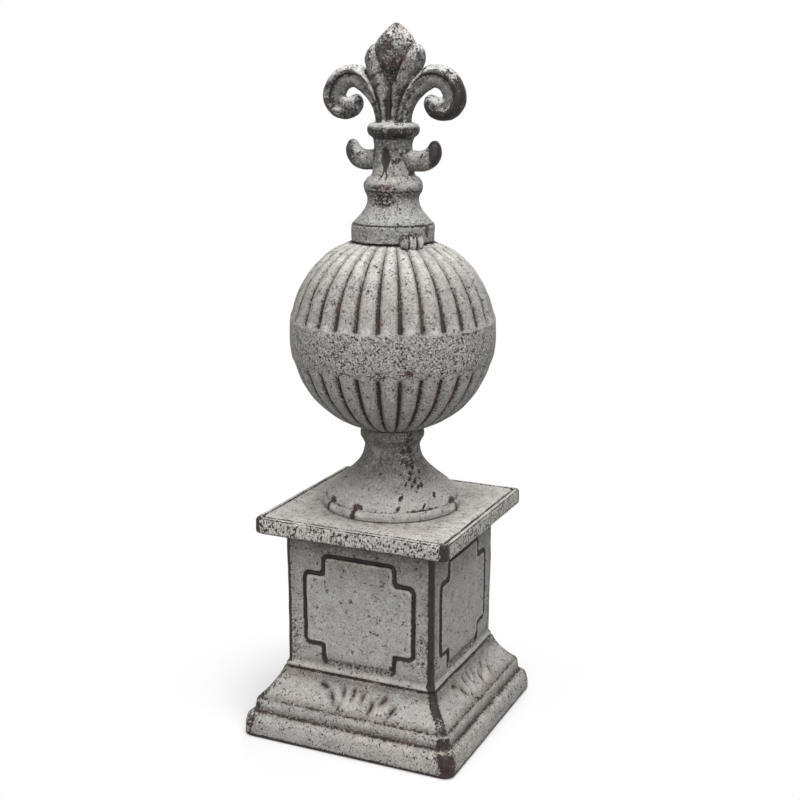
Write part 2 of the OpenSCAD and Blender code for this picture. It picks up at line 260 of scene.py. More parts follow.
    # what shows through: brown primer, dusty in places, with scraps of paint left in the open
    scraps = add("Math", [layer["scrap"], layer["scrapArea"]], operation="MULTIPLY")[0]
    clear = add("Math", [look["scraps"], dirtAndShade], operation="SUBTRACT", use_clamp=True)[0]
    scraps = add("Math", [scraps, clear], operation="MULTIPLY")[0]
    ground = paint["ground"]
    for factor, tint in ((layer["brown"], paint["groundWarm"]), (layer["dusty"], paint["groundPale"]),
                         (scraps, paint["cream"])):
        ground = add("Mix", {0: factor, 6: ground, 7: tint}, data_type="RGBA")[2]

    # old red iron primer: stains where marked, and a few round spots
    spots = add("TexVoronoi", dict(Vector=place, Scale=1 / (27 * mm)))
    chance = add("SeparateColor", [spots["Color"]])[2]
    chance = add("MapRange", [chance, 0.60, 0.62, 0, 1], interpolation_type="SMOOTHSTEP")[0]
    stray = add("MapRange", [spots["Distance"], 0.085, 0.05, 0, 1], interpolation_type="SMOOTHSTEP")[0]
    stray = add("Math", [stray, chance], operation="MULTIPLY")[0]
    dot = add("MapRange", [dot, 0.35, 0.6, 0, 1], interpolation_type="SMOOTHSTEP")[0]
    rusty = add("Math", [stain, layer["rust"]], operation="MULTIPLY")[0]
    rusty = add("Math", [stray, rusty], operation="MAXIMUM", use_clamp=True)[0]
    rusty = add("Math", [rusty, dot], operation="MAXIMUM")[0]
    rusty = add("Math", [rusty, 0.85], operation="MULTIPLY")[0]

    # paint body: cool and warm clouds, cream as dust and as painted highlight, chalky grain, a thin
    # brown wash as dirt and as painted shade in sheltered places, and pale flecks where the skin is broken up
    creamDustAndHighlight = add("Math", [pale, layer["creamDustAndHighlight"]], operation="MULTIPLY")[0]
    tone = add("Math", [layer["grain"], layer["cloud"]], operation="MULTIPLY")[0]
    tone = add("CombineColor", [tone, tone, tone])[0]
    dirtAndShadeWash = add("Math", [dirtAndShade, layer["damp"]], operation="MULTIPLY", use_clamp=True)[0]
    dirtAndShadeWash = add("Math", [dirtAndShadeWash, 0.92], operation="MULTIPLY")[0]
    fleck = add("Math", [0.455, fine], operation="SUBTRACT")[0]
    fleck = add("Math", [fleck, 14.0], operation="MULTIPLY", use_clamp=True)[0]
    fleckMuch = add("Math", [pits, look["fleck"]], operation="MULTIPLY")[0]
    fleck = add("Math", [fleck, fleckMuch], operation="MULTIPLY", use_clamp=True)[0]
    colour = paint["cool"]
    for factor, tint, way in ((layer["warmth"], paint["warm"], "MIX"), (layer["blush"], paint["rose"], "MIX"),
                              (creamDustAndHighlight, paint["cream"], "MIX"), (1.0, tone, "MULTIPLY"),
                              (dirtAndShadeWash, paint["dirtAndShadeWash"], "MULTIPLY"), (fleck, paint["cream"], "MIX"),
                              (gone, ground, "MIX"), (rusty, paint["oxide"], "MIX")):
        colour = add("Mix", {0: factor, 6: colour, 7: tint}, data_type="RGBA", blend_type=way)[2]

    relief = add("TexNoise", dict(Vector=place, Scale=1 / (1.6 * mm), Detail=4, Roughness=0.7))["Fac"]
    height = add("Math", [relief, 0.35], operation="MULTIPLY")[0]
    height = add("Math", [height, gone], operation="SUBTRACT")[0]
    bump = add("Bump", dict(Height=height, Strength=0.9, Distance=0.45 * mm))[0]
    matte = add("MapRange", [gone, 0, 1, 0.82, 0.55], interpolation_type="SMOOTHSTEP")[0]
    finish = add("BsdfPrincipled", {"Base Color": colour, "Roughness": matte, "Normal": bump, "IOR": 1.45,
                                    "Specular IOR Level": 0.35})[0]
    add("OutputMaterial", [finish], target="ALL")
    return material


def dress(piece, paintName, look, node):
    piece.data.materials.clear()
    piece.data.materials.append(agedPaint(paintName, look))
    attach(piece, "root")
    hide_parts(node)


pedestalSizes = dict(  # half widths and heights, bottom to top
    bottomHalf=114.5, stepHalf=105.5, dieHalf=79.4, slabHalf=102.2, slopeZ=38.0, quirkZ=70.0, slabZ=212.0,
    panelHalf=59.0, panelTall=56.5, panelMidZ=135.5, notchWide=20.5, notchTall=19.5, panelCorner=5.5,
    lineHalf=1.9, lineDeep=2.6, lipProud=0.9, gougeDeep=4.0,
    # spots of bare primer: side of the pedestal, place along it, height, radius
    spots=[(0, -8.8, 147.8, 1.9), (0, 11.8, 137.0, 1.7), (0, -6.7, 95.8, 2.2), (1, 62.8, 157.7, 2.2)],
    # leaf gouges: place, share of the slope's height, lean in degrees, length, width
    gouges=[(-34, 0.62, 66, 1.2, 1.35), (-23, 0.34, 30, 1.25, 1.25), (-12.5, 0.55, 10, 1.0, 1.1),
            (-1.5, 0.57, 2, 1.0, 1.1), (9, 0.53, -8, 1.0, 1.1), (19.5, 0.28, -12, 1.15, 1.3),
            (31, 0.50, -42, 1.05, 1.25), (42, 0.28, -30, 1.1, 1.1), (-14, 0.12, 8, 0.7, 0.8)],
    # dark creases: height, width, strength; the last, along the bottom edge, is painted contact shadow
    creasesAndContactShade=[(25.9, 1.9, 0.66), (38.6, 1.8, 0.54), (69.2, 1.5, 0.74), (212.0, 1.3, 0.8), (1.2, 3.0, 1.2)])
pedestalPaint = dict(cool="A2A2A0", warm="A9A49F", rose="9C918B", cream="CBC6BF", dirtAndShadeWash="8E857D",
                     ground="191614", groundWarm="2C2320", groundPale="554A44", oxide="6A3F38",
                     scraps=0.35, fleck=0.75, speck=2.0, crackle=3.4,
                     holes=[(2.6, 0.05, 0.42), (6.4, 0.03, 0.22)])  # cell in mm, wobble, largest size


def roundedBox(x, z, halfX, halfZ, radius):  # distance to a rounded rectangle, negative inside
    outX, outZ = np.abs(x) - halfX + radius, np.abs(z) - halfZ + radius
    return np.hypot(np.maximum(outX, 0), np.maximum(outZ, 0)) + np.minimum(np.maximum(outX, outZ), 0) - radius


def panelDistance(x, z, s):
    # distance to the panel's outline: a wide and a tall rounded rectangle joined by a smooth
    # minimum, tall(1 - h) + wide h - blend h(1 - h), so that the inner corners are rounded too
    blend = 5.0
    wide = roundedBox(x, z, s["panelHalf"], s["panelTall"] - s["notchTall"], s["panelCorner"])
    tall = roundedBox(x, z, s["panelHalf"] - s["notchWide"], s["panelTall"], s["panelCorner"])
    h = np.clip(0.5 + 0.5 * (tall - wide) / blend, 0, 1)
    return tall * (1 - h) + wide * h - blend * h * (1 - h)


def pedestalProfile(s):
    # half width against height, from the middle of the underside to the middle of the slab
    slope = [(103.4, 38.6, 1.6), (99.2, 42.6, 5), (95.6, 46.6, 5), (92.3, 50.8, 5), (89.2, 55.2, 5),
             (86.4, 59.8, 5), (84.2, 64.4, 5), (82.8, 68.4, 5)]
    base = [(30, 0, 0), (112.5, 0, 0), (s["bottomHalf"], 1.6, 1.8), (s["bottomHalf"] - 0.4, 14, 6),
            (112.4, 21.6, 6), (107.2, 25.4, 2.2), (106.1, 27.2, 1.5), (s["stepHalf"] + 0.3, 30.5, 2),
            (s["stepHalf"] - 0.6, 36.6, 2.6)]
    quirk = [(82.3, 68.6, 0.4), (80.6, 68.9, 0.4), (80.4, 70.1, 0.4), (81.5, 70.6, 0.6), (81.5, 72.4, 1.1)]
    die = [(s["dieHalf"] + 0.15, 75.0, 2.2), (s["dieHalf"], 110, 0), (s["dieHalf"], s["slabZ"], 1.2)]
    slab = [(98.8, s["slabZ"] + 0.2, 1.0), (s["slabHalf"], s["slabZ"] + 2.4, 2.4),
            (s["slabHalf"], slabTop - 2.6, 2.0), (101.2, slabTop - 0.5, 0.6), (99.6, slabTop - 0.1, 0.6),
            (98.0, slabTop - 0.1, 0.4), (97.4, slabTop - 1.5, 0.4), (95.8, slabTop - 1.5, 0.4),
            (95.2, slabTop - 0.1, 0.4), (60, slabTop, 0), (30, slabTop, 0)]
    rough = roundedLine(base + slope + quirk + die + slab, 2.0)
    # up the die the steps are fine only where the panel lines run level and at the spots
    z = rough[:, 1]
    onDie = (np.abs(rough[:, 0] - s["dieHalf"]) < 0.3) & (z > 76) & (z < s["slabZ"] - 0.5)
    first, last = np.flatnonzero(onDie)[[0, -1]]
    levels = [np.arange(z[first], z[last], 4.4), z[[first, last]]]
    for rise in (s["panelTall"], s["panelTall"] - s["notchTall"]):
        levels += [s["panelMidZ"] + sign * rise + np.arange(-4.0, 4.1, 0.8) for sign in (-1, 1)]
    levels += [spot[2] + np.arange(-3, 3.1) for spot in s["spots"]]
    levels = spaced(np.concatenate(levels), z[first], z[last], 0.62)
    profile = np.vstack([rough[:first], np.c_[np.full(len(levels), s["dieHalf"]), levels], rough[last + 1:]])
    # every fourth step is enough where nothing is carved: the underside and the slab's middle
    half, z = profile.T
    plain = ((half < 110) & (z < 0.5)) | ((half < 86) & (z > slabTop - 0.5))
    keep = ~plain
    keep[np.flatnonzero(plain)[::4]] = True
    keep[[0, -1]] = True
    return profile[keep]


def makePedestal():
    # each face is the grid x = along (half - turn) + turn sin(curl), y = -(half - turn) - turn cos(curl),
    # with half and turn set by the height, and along and curl by the place across the face
    s = pedestalSizes
    half, height = pedestalProfile(s).T[..., None]
    turn = np.interp(height, [0, 24, 26.5, 37, 39, 68, 75, 211, 213, slabTop],
                     [10, 10, 7, 6, 4.5, 3.5, 4, 4, 5, 5])
    turn = np.where((half < 90) & ((height > slabTop - 1) | (height < 1)), 2.0, turn)
    straight = s["dieHalf"] - 4.0
    places = [np.arange(0, 40, 1.6), np.arange(40, straight, 3.1), [0.0, straight]]
    places += [edge + np.arange(-4.0, 4.1, 0.8) for edge in (s["panelHalf"], s["panelHalf"] - s["notchWide"])]
    places = spaced(np.concatenate(places), 0, straight, 0.7)
    bend = np.linspace(0, math.pi / 2, 7)[1:-1]
    side = np.r_[-places[:0:-1], places] / straight
    along, curl = np.r_[side, np.ones(len(bend))], np.r_[np.zeros(len(side)), bend]
    x = along * (half - turn) + turn * np.sin(curl)
    y = -(half - turn) - turn * np.cos(curl)
    z = np.broadcast_to(height, x.shape).copy()
    perFace = x.shape[1]

    # incised panel line with a raised lip inside it, softer along the bottom
    onFace = (curl == 0) & (z > 75) & (z < s["slabZ"] - 1)
    fromLine = panelDistance(x, z - s["panelMidZ"], s)
    soft = ramp(-44, -54, z - s["panelMidZ"]) * ramp(39, 33, np.abs(x))
    line = np.where(onFace, ridge(fromLine, -1.5 * soft, s["lineHalf"] * (1 + 0.9 * soft)), 0)
    lip = np.where(onFace, ridge(fromLine, -3.4, 1.2) * (1 - soft), 0)
    y = y + s["lineDeep"] * line * (1 - 0.35 * soft) - s["lipProud"] * lip

    # fan of short leaf gouges on the slope: each exp(-(across / width)^2 - |along / length|^3)
    gouge = np.zeros_like(x)
    rise = (z - s["slopeZ"]) / (s["quirkZ"] - s["slopeZ"])
    for at, share, lean, size, fat in s["gouges"]:
        outX, outZ = x - at, (rise - share) * 38
        c, w = math.cos(math.radians(lean)), math.sin(math.radians(lean))
        across, lengthwise = outX * c + outZ * w, outZ * c - outX * w
        taper = np.clip(1 + 0.06 * lengthwise, 0.5, 1.5)
        one = np.exp(-(across / (2.5 * fat * taper)) ** 2 - (np.abs(lengthwise) / (7.2 * size)) ** 3)
        gouge = np.maximum(gouge, one)
    gouge = np.where((z > s["slopeZ"] + 1) & (z < s["quirkZ"] - 1) & (curl == 0), gouge, 0)
    y = y + s["gougeDeep"] * gouge
    z = z - 0.9 * gouge

    # the face four times round the axis, then what was worked out on it as well
    quarters = [(1, 0), (0, 1), (-1, 0), (0, -1)]
    aroundX = np.concatenate([x * c - y * w for c, w in quarters], 1)
    aroundY = np.concatenate([x * w + y * c for c, w in quarters], 1)
    up, halfAll, curlAll, alongAll, lineAll, lipAll, gougeAll, softAll, nearLine = (
        np.tile(np.broadcast_to(v, x.shape), 4)
        for v in (z, half, curl, along, line, lip, gouge, soft, np.where(onFace, ridge(fromLine, 0, 6.5), 0)))

    # soft unevenness of a hand-finished casting, none on the underside
    points = np.stack([aroundX, aroundY, up], -1)
    wave = 0.55 * lumps(points, 38) + (0.28 + 0.25 * ramp(72, 66, up)) * lumps(points, 11, 3.3)
    wave = wave * ramp(0.5, 4, up) * (halfAll >= 70)
    outward = points * [1, 1, 0]
    outward = outward / np.maximum(np.linalg.norm(outward, axis=-1, keepdims=True), 1)
    isTop = np.abs(up - slabTop) < 0.6
    points = points + outward * np.where(isTop, 0, wave)[..., None]
    points[..., 2] += np.where(isTop, 0.3, 0.15) * wave

    # upright corners rubbed to the primer, widest on the corner between the two broad views
    fromEdge = np.where(curlAll > 0, 0, (1 - np.abs(alongAll)) * halfAll)
    patchy = lumps(points, 15, 6.6) + 0.5 * lumps(points, 6, 1.9)
    cornerWide = np.interp(up, [0, 8, 15, 20, 24, 26, 38, 40, 60, 70, 76, 211, 214, slabTop],
                           [1.5, 3, 7, 9.5, 7, 4.5, 7, 3.5, 5.0, 5.0, 1.0, 0.6, 2, 2])
    front = (aroundX - aroundY) / np.maximum(np.hypot(aroundX, aroundY), 1) / math.sqrt(2)
    lead = 0.56 + 0.44 * ramp(0.7, 0.98, front)  # front is 1 at that corner
    corner = np.where(halfAll > 78, ramp(cornerWide * lead + 1.5, 0.3 * cornerWide * lead, fromEdge), 0)
    corner = corner * np.where(up < 74, lead * (0.80 + 0.42 * patchy), 0.95 + 0.15 * patchy)
    corner = np.where((up > slabTop - 2) & (halfAll < 99.5), 0, corner)
    corner = corner * (1 - 0.6 * ridge(up, 24.6, 1.6)) * (1 - 0.55 * ridge(up, 37.4, 1.4))

    onTop = up > slabTop - 2.2
    onDie = (up > 76) & (up < s["slabZ"])
    onSlabEdge = (np.abs(halfAll - s["slabHalf"]) < 1.5) & (up > s["slabZ"])
    # the dark line along the bottom edge is painted contact shadow; the others are dark creases
    creaseAndContactShade = np.maximum.reduce([much * ridge(up, level, wide) for level, wide, much in s["creasesAndContactShade"]]
                               + [np.where(onTop, 0.95 * ridge(halfAll, 96.6, 1.5), 0),
                                  0.80 * ridge(np.hypot(halfAll - 101.8, up - slabTop + 0.9), 0, 1.3),
                                  0.5 * ridge(np.hypot(halfAll - 101, up - s["slabZ"] - 1), 0, 2.0)])
    creaseAndContactShade = creaseAndContactShade * (1 + 0.28 * patchy)
    inkTo = np.repeat([0.46, 0.26, 0.46, 0.26], perFace)  # the ink lies wider on two of the sides
    worn = np.maximum.reduce([corner, creaseAndContactShade, ramp(0.06, 1.0, lineAll / inkTo) * (1 - 0.56 * softAll),
                              0.66 * ramp(0.40, 1.0, gougeAll)])
    edgePits = ramp(20, 5, fromEdge)
    pitsOnDie = 0.33 + 0.45 * edgePits * ramp(160, 90, up)
    pits = np.select([onTop, onDie, up < 38, onSlabEdge],
                     [0.42, pitsOnDie, 0.46 + 0.25 * edgePits, 0.95], 0.34)
    streak = np.where(onSlabEdge, ramp(-0.6, 0.3, front + 0.2 * patchy), 0)
    # cream dust on the slab top and its edge, and painted highlight on the bead at the die's foot, the step
    # tops, the slope and the lip beside the panel line
    pale = np.maximum.reduce([0.6 * ridge(up, 72.0, 1.2), 0.75 * onTop, 0.45 * ridge(up, 23, 3), 1.2 * lipAll,
                              0.55 * onSlabEdge, 0.5 * ridge(up, 36, 2),
                              0.35 * ramp(60, 42, up) * ramp(38, 41, up)])
    spot = np.zeros_like(up)
    for face, at, level, size in s["spots"]:
        dot = np.exp(-((x - at) ** 2 + (z - level) ** 2) / size ** 2) * onFace
        spot[:, face * perFace:(face + 1) * perFace] += dot
    stain = np.maximum.reduce([0.5 * gougeAll, 0.52 * creaseAndContactShade * (up < 80) * (up > 3),
                               0.45 * corner * (up < 40), 0.22 * onTop * ridge(halfAll, 74, 16)])
    # painted shadow under the slab's overhang, and painted shade round the panel line, under the bead and the
    # steps, in the gouges and along the bottom edge; also darker along the die's upright edges, at the die's
    # foot and round the foot on the slab top
    dirtAndShade = np.maximum.reduce([0.95 * onDie * ramp(150, 212, up), 0.42 * nearLine,
                               0.45 * onDie * ramp(16, 2, fromEdge), 0.55 * onDie * ridge(up, 79, 5),
                               0.6 * softAll * nearLine, 0.75 * ridge(up, 65.5, 5.5),
                               0.75 * ridge(up, 40, 3.6), 0.9 * ridge(up, 27.4, 4.0), gougeAll,
                               0.5 * ramp(9, 0, up), 0.34 * onTop * ridge(halfAll, 66, 10)])
    marks = dict(worn=worn, pits=pits, pale=pale, stain=stain, dirtAndShade=dirtAndShade, streak=streak, spot=spot)
    piece = meshFrom("pedestalCasting", *closedGrid(points), marks)
    print("pedestal", up.shape, "grid,", len(piece.data.polygons), "faces")
    return piece


dress(makePedestal(), "distressedPaintPedestal", pedestalPaint, "pedestal")


globeSizes = dict(
    reeds=29, perReed=12, grooveAt=-61.4, half=100.6, flat=6.0, reedDeep=6.4, fuller=1.5,
    beltHalf=18.0, beltDrop=5.0, beltProud=0.9, rimHalf=69.5, neckHalf=27.7, ringHalf=32.2, crownHalf=29.0,
    # lugs where the rim was keyed to the slab: plan angle, which way they turn, size
    lugs=[(-128, 1, 1.0), (-97, 1, 1.7), (-2, -1, 1.7)],
    # chips on the foot: degrees round from its front, height above the slab, size
    chips=[(8.5, 22, 2.5), (5, 13.5, 2.1), (29, 14, 1.9), (44, 21, 2.3), (30, 34, 2.2), (24, 36, 1.8),
           (-18, 40, 1.3), (33, 47, 2.0), (66, 50, 1.6), (70, 42, 1.7), (62, 58, 1.5)],
    strayChips=30, beltBreaks=(-6, 8))
globePaint = dict(pedestalPaint, cool="9B9A98", warm="A29E9A", cream="C8C5C0", dirtAndShadeWash="86817B", speck=1.75)


def globeFoot(s):
    # radius against height of the rim and of the neck; the flare between them adds to the neck's
    # radius a share 0.78 sin^2(90 u^1.35) + 0.22u of the way to the rim
    half, ring = s["rimHalf"], s["ringHalf"]
    u = np.linspace(1, 0, 40)
    share = 0.78 * np.sin(np.pi / 2 * u ** 1.35) ** 2 + 0.22 * u
    flare = np.c_[s["neckHalf"] + (half - 3.6 - s["neckHalf"]) * share, slabTop + 11 + 50 * (1 - u)]
    rim = roundedLine([(20, slabTop, 0), (half - 1.3, slabTop, 0), (half, slabTop + 1.4, 1.2),
                       (half, slabTop + 5.2, 2.0), (half - 0.9, slabTop + 8.4, 2.0),
                       (half - 2.9, slabTop + 9.6, 1.0), (half - 4.1, slabTop + 9.4, 0.3)], 1.7)
    neck = roundedLine([(*flare[-1], 0), (s["neckHalf"], slabTop + 64, 1.5),
                        (ring - 2.4, slabTop + 68.4, 1.5), (ring - 0.2, slabTop + 71.6, 2),
                        (ring, slabTop + 76.4, 2.5), (ring - 2.5, slabTop + 79.6, 1),
                        (s["crownHalf"], slabTop + 80.4, 0)], 1.5)
    return rim, flare[1:-1], neck


def makeGlobe():
    # the ball is an arc of radius arcR whose centre stands arcIn off the axis, which flattens it;
    # a climb is the angle up that arc from its middle
    s = globeSizes
    arcIn = (s["half"] ** 2 - (s["half"] - s["flat"] / 2) ** 2) / (2 * s["half"])
    arcR = s["half"] - arcIn
    midZ = seatZ - math.sqrt(arcR ** 2 - (seatHalf - arcIn) ** 2)
    beltLow = math.asin((-s["beltDrop"] - s["beltHalf"]) / arcR)
    beltHigh = math.asin((-s["beltDrop"] + s["beltHalf"]) / arcR)
    stop = math.acos((seatHalf - arcIn) / arcR)
    climbs = np.unique(np.r_[np.arange(-math.acos((s["crownHalf"] - arcIn) / arcR), stop, 0.0235), stop,
                             np.linspace(beltLow - 0.13, beltLow + 0.04, 17),
                             np.linspace(beltHigh - 0.04, beltHigh + 0.09, 13)])
    climbs = climbs[np.r_[True, np.diff(climbs) > 0.004]]
    rim, flare, neck = globeFoot(s)
    ball = np.c_[arcIn + arcR * np.cos(climbs), midZ + arcR * np.sin(climbs)]
    profile = np.vstack([rim, flare, neck, ball[1:], [[seatHalf - 6, seatZ], [12.0, seatZ]]])
    rows, columns = len(profile), s["reeds"] * s["perReed"]
    firstBall = len(rim) + len(flare) + len(neck)
    theta = np.arange(columns) / columns * 2 * np.pi + math.radians(s["grooveAt"])
    r, z = (np.broadcast_to(c[:, None], (rows, columns)).copy() for c in profile.T)
    index = np.arange(rows)[:, None] + np.zeros((1, columns), int)
    onBall = (index >= firstBall) & (index < rows - 2)
    climb = np.where(onBall, np.arcsin(np.clip((z - midZ) / arcR, -1, 1)), 0)

    # reeds: each falls away by 0.30a^2 + 0.70a^5 from its crest to the valley at a = 1; the lower
    # ones start as flush tongues below the belt, the upper ones end in a swollen lip on it
    away = np.abs((np.arange(columns) / s["perReed"]) % 1 * 2 - 1) + np.zeros_like(r)
    below = (beltLow - climb) * arcR
    above = (climb - beltHigh) * arcR
    isLower = climb < (beltLow + beltHigh) / 2
    tongue = np.hypot(away, np.clip((13 - below) / 13, 0, 1.5))
    outline = ridge(tongue, 0.99, 0.09) * ramp(14, 9, below) * ramp(-2, 0.5, below) * isLower
    deep = s["reedDeep"] * np.clip(np.pi * r / s["reeds"] / 10.9, 0.22, 1)
    opening = np.where(isLower, ramp(0.5, 13, below), ramp(-1.0, 5.5, above))
    drop = deep * (0.30 * away ** 2 + 0.70 * away ** 5) * opening + 0.9 * outline
    lip = np.where(isLower, 0, (1 - away ** 2.4) * ridge(above, 4.2, 4.2))
    belt = onBall * ramp(-7.0, 3.0, -below) * ramp(-3.5, 1.5, -above)
    # rounder than a true ball by fuller |sin(2 climb)|^1.5, faded out at the seat
    fuller = s["fuller"] * np.abs(np.sin(2 * climb)) ** 1.5 * ramp(0, 12, seatZ - z)
    push = onBall * (s["beltProud"] * belt - drop * (1 - 0.9 * belt) + 1.3 * lip + fuller)
    r = r + push * np.cos(climb)
    z = z + push * np.sin(climb)

    # lugs and a crust of old filler on the rim
    plan = np.degrees(theta)
    up = z - slabTop
    onRim = index < len(rim) + 8
    lug, hook, crust = np.zeros((3, *r.shape))
    for at, hand, size in s["lugs"]:
        arc = hand * np.radians((plan - at + 180) % 360 - 180) * 68
        stem = ridge(arc, -2.2 + 0.2 * (up - 5), 3.2) * ramp(-2, 0, up) * ramp(17, 13, up)
        head = ridge(up, 13.2 - 0.03 * arc ** 2, 2.9) * ramp(-5, -2, arc) * ramp(10, 6, arc)
        lump = ridge(arc, 5.2, 4.2) * ridge(up, 6.5, 5)
        hook = np.maximum.reduce([hook, stem * onRim, head * onRim])
        lug = np.maximum(lug, size * (1.5 * lump + 1.1 * head + 0.9 * stem) * onRim)
        crust = np.maximum(crust, lump * onRim)
    r = r + 0.8 * lug * (up > 0.5)
    points = np.stack([r * np.cos(theta), r * np.sin(theta), z], -1)
    wave = 0.4 * lumps(points, 30, 1.7) + 0.3 * lumps(points, 9, 5.1)
    wave = wave * ramp(slabTop + 0.2, slabTop + 3, z) * ramp(seatZ - 0.1, seatZ - 4, z)
    points = points + np.stack([wave * np.cos(theta), wave * np.sin(theta), np.zeros_like(z)], -1)

    # ink in the valleys and seams, thinning out towards the crown
    patchy = lumps(points, 14, 3.6) + 0.5 * lumps(points, 5, 7.9)
    inkFrom = np.where(isLower, 0.66, np.interp(above, [0, 30, 60, 90], [0.60, 0.66, 0.74, 0.84]))
    inkMuch = np.where(isLower, ramp(-1.2, -0.7, climb) * 0.25 + 0.75,
                       np.interp(above, [0, 40, 80, 100], [1.0, 0.92, 0.68, 0.5]))
    valley = onBall * ramp(inkFrom, 1.0, away) * inkMuch * ramp(0.25, 0.8, opening) * (1.02 + 0.25 * patchy)
    ledge = onBall * (0.56 * outline + 0.40 * ramp(0.35, 0.9, away) * ridge(above, 0.0, 2.6))
    rimLine = ridge(np.hypot(r - 65.8, up - 10.2), 0, 1.6) * (index < len(rim) + 3) * (0.74 + 0.5 * patchy)
    seam = ridge(up, 0, 1.3) * (r > 60) * (index < len(rim)) * (0.66 + 0.45 * patchy)
    joint = 0.8 * ridge(z, seatZ, 1.5) * (index >= rows - 5)
    ringSeam = 0.9 * ridge(up, 81.5, 1.6) * (index >= firstBall - 6)
    # leaning chips on the foot
    side = (plan + 65.5 + 180) % 360 - 180
    dice = np.random.default_rng(31)
    count = s["strayChips"]
    stray = np.c_[dice.normal(31, 8, count), dice.uniform(28, 80, count), dice.uniform(1.3, 2.1, count)]
    chips = np.zeros_like(r)
    for at, level, size in np.vstack([s["chips"], stray]):
        arc = np.radians(side - at) * r
        across, lengthwise = 0.8 * arc + 0.6 * (up - level), 0.8 * (up - level) - 0.6 * arc
        chips = np.maximum(chips, ridge(across, 0, 1.7 * size) * ridge(lengthwise, 0, 0.8 * size))
    chips = 0.95 * chips * ~onBall
    # two breaks in the paint at the belt's lower edge, the right one rusty
    breaks = onBall * sum(squareBell((side - at) / 4.2, (below + 3.0) / 3.6) for at in s["beltBreaks"])
    worn = np.maximum.reduce([valley, ledge, rimLine, seam, joint, ringSeam, hook, chips,
                              breaks * (0.42 + 0.5 * lumps(points, 4, 6.1))])
    column = ridge(side, 30, 15) * ramp(20, 36, up) + 0.7 * ridge(side, 68, 12)
    pits = np.where(onBall, 0.44 + 0.06 * isLower, 0.26 + 0.36 * column)
    pits = np.maximum(pits, 0.78 * onBall * ramp(-14, 2, -below) * ramp(-3, 1, -above))
    # painted highlight on the upper reeds' crests and their swollen lips, and lighter towards the crown as
    # painted light from above; the filler crust is pale, and the rim a little
    pale = onBall * ((1 - away ** 2) * 0.25 * (above > 0) + 0.80 * ramp(0.0, 1.0, climb) ** 2)
    pale = np.maximum.reduce([pale, 1.5 * lip ** 2 * ramp(0.7, 0.2, away), crust,
                              0.15 * (index < len(rim) + 12)])
    stain = np.maximum.reduce([valley * ramp(-0.1, 0.4, lumps(points, 30, 2.2)), 0.7 * hook,
                               0.9 * breaks * (side > 0)])
    # painted shade: on the reeds' flanks beside each groove, over the belt and below the crown, darker on the
    # lower half, up the foot under the ball and at the rim's foot
    brow = onBall * ramp(0.30, 0.90, away) * opening * np.interp(climb, [-1.2, 0.2, 1.1], [0.9, 0.9, 0.5])
    shade = onBall * (0.26 * belt + 0.34 * ramp(0.95, 0.55, climb) * ramp(-3, 4, above))
    dirtAndShade = np.maximum.reduce([brow, shade, 0.34 * onBall * ramp(-0.1, -0.9, climb),
                               ~onBall * ramp(14, 50, up), 0.5 * onRim * ramp(7, 1, up)])
    piece = meshFrom("reededGlobe", *closedGrid(points),
                     dict(worn=worn, pits=pits, pale=pale, stain=stain, dirtAndShade=dirtAndShade))
    print("globe", r.shape, "grid,", len(piece.data.polygons), "faces")
    return piece


dress(makeGlobe(), "distressedPaintGlobe", globePaint, "globe")


crestSizes = dict(
    collarHalf=40.4, neckHalf=24.8, ringHalf=28.7, knotHalf=25.2, knotThick=7.0, knotZ=105.8,
    scrollReach=73.2, eyeInset=22.3, eyeRise=137.2, coil=11.7, hookReach=50.5, hookZ=77.2, hookBend=13.0,
    lean=2.8, fuse=1.05,
    # knuckles of run metal at the collar's foot: plan angle and half height
    knuckles=[(-52, 8.0), (-42, 9.4), (-32.5, 8.4)], knuckleAt=45.0, knuckleHalf=4.5)
crestPaint = dict(pedestalPaint, cool="8D8F8E", warm="94908B", cream="D2CFCC", dirtAndShadeWash="7F7A75",
                  groundWarm="251E1C", scraps=1.0, fleck=0.65, crackle=3.0)


def swell(t, power):  # a sine raised to a power with its sign kept, which squares or pinches an oval
    return np.sign(np.sin(t)) * np.abs(np.sin(t)) ** power


def turnedSolid(profile, columns):  # a profile of (radius, height) turned about the axis
    theta = np.arange(columns) / columns * 2 * np.pi
    radius, height = profile.T[..., None]
    height = np.broadcast_to(height, (len(profile), columns))
    return closedGrid(np.stack([radius * np.cos(theta), radius * np.sin(theta), height], -1))


def sweptSolid(path, halfWide, halfDeep, section):
    # a closed section of (across, depth) shares, one for all or one for each station, carried square
    # to a path in the XZ plane: path + across halfWide (the path's normal) + depth halfDeep along Y
    step = np.gradient(path, axis=0)
    step = step / np.linalg.norm(step, axis=1, keepdims=True)
    across = section[..., 0] * halfWide[:, None]
    return closedGrid(np.stack([path[:, :1] + step[:, 1:] * across, section[..., 1] * halfDeep[:, None],
                                path[:, 1:] - step[:, :1] * across], -1))


def stackedSolid(rows, count, around, keel=1.0):
    # sections stacked up the axis, x = halfWide cos t and y = halfDeep sin t, each to the keel power,
    # which pinches a ridge front and back; rows are (height, half width, half depth)
    rows = np.array(rows)
    level = np.linspace(rows[0, 0], rows[-1, 0], count)
    wide, deep = (np.interp(level, rows[:, 0], rows[:, k])[:, None] for k in (1, 2))
    t = np.arange(around) / around * 2 * np.pi
    level = np.broadcast_to(level[:, None], (count, around))
    return closedGrid(np.stack([wide * np.sign(np.cos(t)) * np.abs(np.cos(t)) ** keel,
                                deep * swell(t, keel), level], -1))


def mirroredX(solid):
    points, faces = solid
    return points * [-1, 1, 1], faces[:, [1, 0, 3, 2]]


